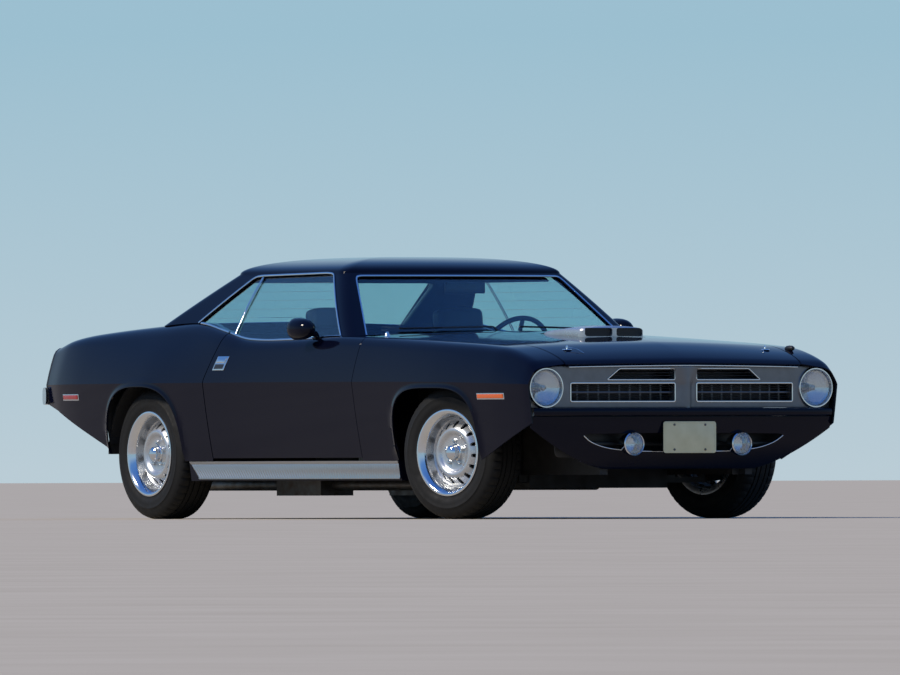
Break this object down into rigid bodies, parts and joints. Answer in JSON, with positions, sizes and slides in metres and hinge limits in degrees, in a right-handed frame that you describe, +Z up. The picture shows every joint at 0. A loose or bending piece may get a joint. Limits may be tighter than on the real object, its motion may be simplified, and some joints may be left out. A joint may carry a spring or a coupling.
{
  "type": "muscle car",
  "caption": "Two-door hardtop muscle car with a long hood, a scoop standing through it, and opening doors, hood and trunk lid.",
  "frame": {"origin": "on the floor, under the middle of the overall box", "axes": "+X forward, +Y to the car's left, +Z up"},
  "size_m": [4.742, 1.965, 1.2994],
  "materials": {
    "black_paint": "gloss",
    "tail_black": "matte",
    "red_lens": "gloss",
    "chrome": "polished",
    "argent": "satin",
    "dark_grille": "satin",
    "lamp_glass": "gloss",
    "window_glass": "gloss",
    "ribbed_trim": "satin",
    "underbody": "satin",
    "engine_paint": "gloss",
    "tank_steel": "satin",
    "black_vinyl": "satin",
    "black_plastic": "satin",
    "wheel_silver": "satin",
    "tyre_rubber": "matte"
  },
  "bodies": {
    "body": {"fender_right": "black_paint", "fender_left": "black_paint", "quarter_right": "black_paint", "quarter_left": "black_paint", "cowl": "black_paint", "roof": "black_paint", "deck_filler": "black_paint", "tail_panel": "tail_black", "tail_lamps": "red_lens", "rear_bumper": "chrome", "front_bumper": "black_paint", "grille_surround": "argent", "grille_bars": "dark_grille", "grille_louvres": "dark_grille", "headlamps": "lamp_glass", "front_valance": "black_paint", "fog_lamps": "chrome", "windshield": "window_glass", "rear_window": "window_glass", "quarter_windows": "window_glass", "sills": "black_paint", "sill_trims": "ribbed_trim", "floor_pan": "underbody", "radiator": "underbody", "engine": "engine_paint", "shaker_scoop": "argent", "front_suspension": "underbody", "rear_axle": "underbody", "fuel_tank": "tank_steel", "exhaust": "tank_steel", "dashboard": "black_plastic", "steering_wheel": "black_plastic", "front_seats": "black_vinyl", "rear_seat": "black_vinyl"},
    "door_right": {"door_right": "black_paint", "door_glass_right": "window_glass", "mirror_right": "black_paint"},
    "door_left": {"door_left": "black_paint", "door_glass_left": "window_glass", "mirror_left": "black_paint"},
    "hood": {"hood": "black_paint"},
    "trunk_lid": {"trunk_lid": "black_paint"},
    "knuckle_right": {"knuckle_right": "underbody"},
    "knuckle_left": {"knuckle_left": "underbody"},
    "wheel_fr": {"wheel_fr": "wheel_silver", "tyre_fr": "tyre_rubber"},
    "wheel_fl": {"wheel_fl": "wheel_silver", "tyre_fl": "tyre_rubber"},
    "wheel_rr": {"wheel_rr": "wheel_silver", "tyre_rr": "tyre_rubber"},
    "wheel_rl": {"wheel_rl": "wheel_silver", "tyre_rl": "tyre_rubber"}
  },
  "joints": [
    {"name": "steer_right", "type": "hinge", "parent": "body", "child": "knuckle_right", "pos_m": [1.441, -0.643, 0.325], "axis": [0, 0, 1], "range_deg": [-45, 19]},
    {"name": "steer_left", "type": "hinge", "parent": "body", "child": "knuckle_left", "pos_m": [1.441, 0.643, 0.325], "axis": [0, 0, 1], "range_deg": [-45, 19]},
    {"name": "wheel_fr_spin", "type": "hinge", "parent": "knuckle_right", "child": "wheel_fr", "pos_m": [1.46687, -0.75505, 0.325], "axis": [-0.225, 0.9744, 0], "continuous": true},
    {"name": "wheel_fl_spin", "type": "hinge", "parent": "knuckle_left", "child": "wheel_fl", "pos_m": [1.41513, 0.75505, 0.325], "axis": [-0.225, 0.9744, 0], "continuous": true},
    {"name": "wheel_rr_spin", "type": "hinge", "parent": "body", "child": "wheel_rr", "pos_m": [-1.302, -0.771, 0.325], "axis": [0, 1, 0], "continuous": true},
    {"name": "wheel_rl_spin", "type": "hinge", "parent": "body", "child": "wheel_rl", "pos_m": [-1.302, 0.771, 0.325], "axis": [0, 1, 0], "continuous": true},
    {"name": "door_right_swing", "type": "hinge", "parent": "body", "child": "door_right", "pos_m": [0.652, -0.8705, 0.6], "axis": [0, 0, 1], "range_deg": [0, 62]},
    {"name": "door_left_swing", "type": "hinge", "parent": "body", "child": "door_left", "pos_m": [0.652, 0.8705, 0.6], "axis": [0, 0, -1], "range_deg": [0, 62]},
    {"name": "hood_lift", "type": "hinge", "parent": "body", "child": "hood", "pos_m": [0.556, 0, 0.87], "axis": [0, -1, 0], "range_deg": [0, 48]},
    {"name": "trunk_lift", "type": "hinge", "parent": "body", "child": "trunk_lid", "pos_m": [-1.382, 0, 0.918], "axis": [0, 1, 0], "range_deg": [0, 55]}
  ],
  "couplings": [
    {"joint": "steer_left", "follows": "steer_right", "ratio": 1}
  ]
}
